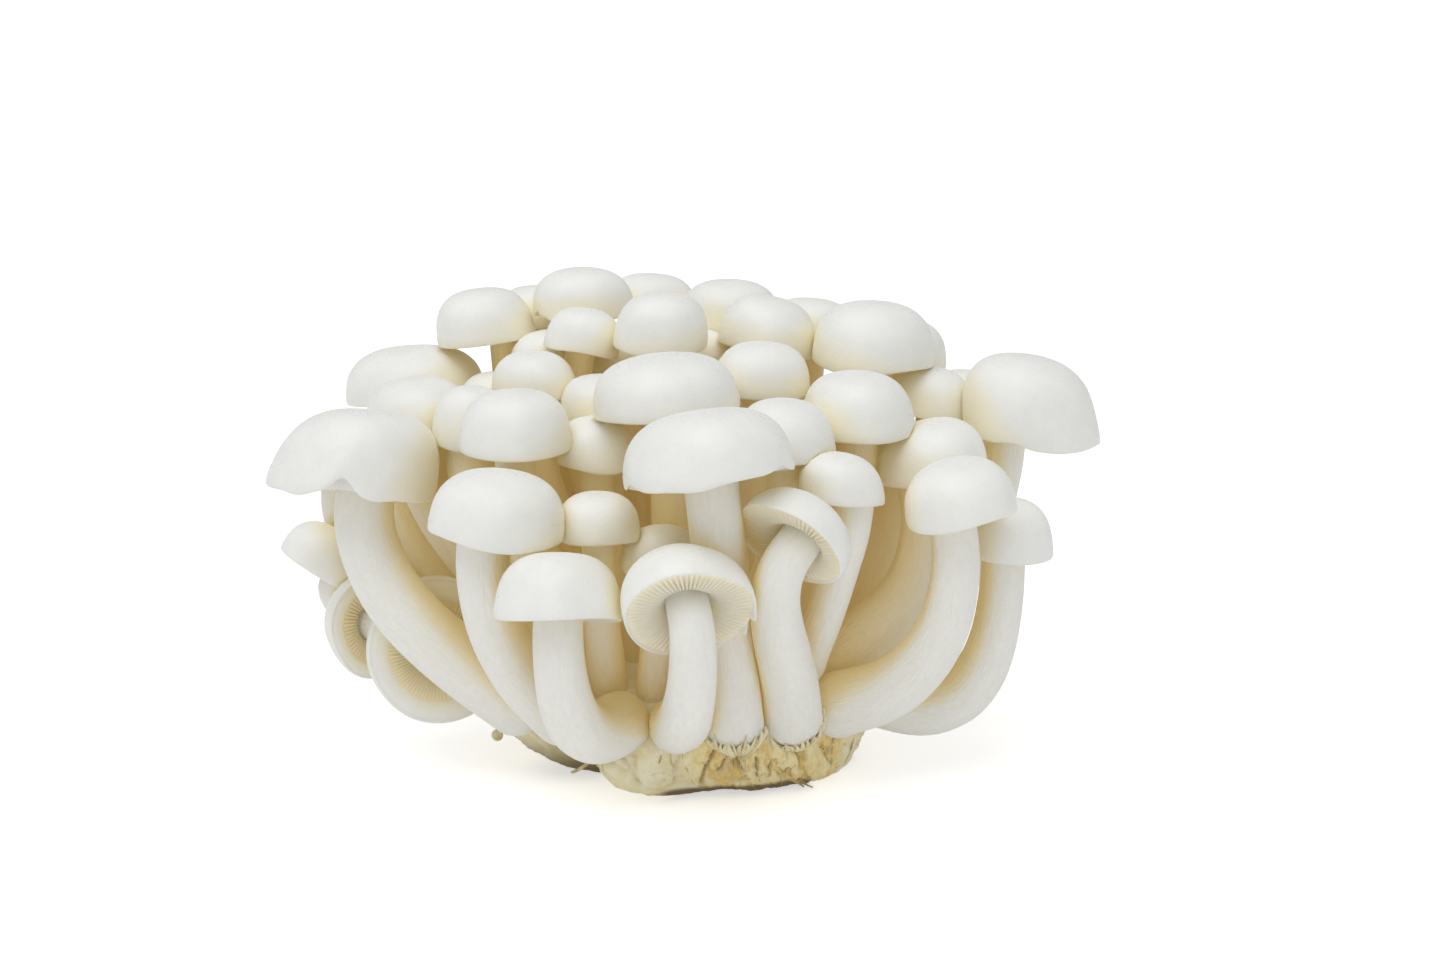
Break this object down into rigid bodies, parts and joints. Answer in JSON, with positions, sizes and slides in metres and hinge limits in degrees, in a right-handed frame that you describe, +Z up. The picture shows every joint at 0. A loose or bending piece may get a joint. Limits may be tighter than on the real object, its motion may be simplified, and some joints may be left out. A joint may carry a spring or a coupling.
{
  "type": "beech mushroom bunch",
  "caption": "Bunch of white beech mushrooms with domed caps, gills and curved stems, rising from one root base cut flat to stand on",
  "frame": {"origin": "on the flat underside of the root base, below the middle of the bunch's foot", "axes": "+X is the bunch's right as pictured, along its widest spread; +Y is away from the viewer; +Z is up, the way the middle stems grow"},
  "size_m": [0.149, 0.1296, 0.0868],
  "materials": {
    "flesh": "smooth, soft satin",
    "root": "rough, fibrous"
  },
  "bodies": {
    "root": {"root_base": "root", "mushroom_01": "flesh", "mushroom_02": "flesh", "mushroom_03": "flesh", "mushroom_04": "flesh", "mushroom_05": "flesh", "mushroom_06": "flesh", "mushroom_07": "flesh", "mushroom_08": "flesh", "mushroom_09": "flesh", "mushroom_10": "flesh", "mushroom_11": "flesh", "mushroom_12": "flesh", "mushroom_13": "flesh", "mushroom_14": "flesh", "mushroom_15": "flesh", "mushroom_16": "flesh", "mushroom_17": "flesh", "mushroom_18": "flesh", "mushroom_19": "flesh", "mushroom_20": "flesh", "mushroom_21": "flesh", "mushroom_22": "flesh", "mushroom_23": "flesh", "mushroom_24": "flesh", "mushroom_25": "flesh", "mushroom_26": "flesh", "mushroom_27": "flesh", "mushroom_28": "flesh", "mushroom_29": "flesh", "mushroom_30": "flesh", "mushroom_31": "flesh", "mushroom_32": "flesh", "mushroom_33": "flesh", "mushroom_34": "flesh", "mushroom_35": "flesh", "mushroom_36": "flesh", "mushroom_37": "flesh", "mushroom_38": "flesh", "mushroom_39": "flesh", "mushroom_40": "flesh", "mushroom_41": "flesh", "mushroom_42": "flesh", "mushroom_43": "flesh", "mushroom_44": "flesh", "mushroom_45": "flesh", "mushroom_46": "flesh", "mushroom_47": "flesh", "mushroom_48": "flesh", "mushroom_49": "flesh", "mushroom_50": "flesh", "mushroom_51": "flesh", "mushroom_52": "flesh", "mushroom_53": "flesh", "mushroom_54": "flesh", "mushroom_55": "flesh", "mushroom_56": "flesh", "mushroom_57": "flesh", "mushroom_58": "flesh", "mushroom_59": "flesh"}
  },
  "joints": []
}
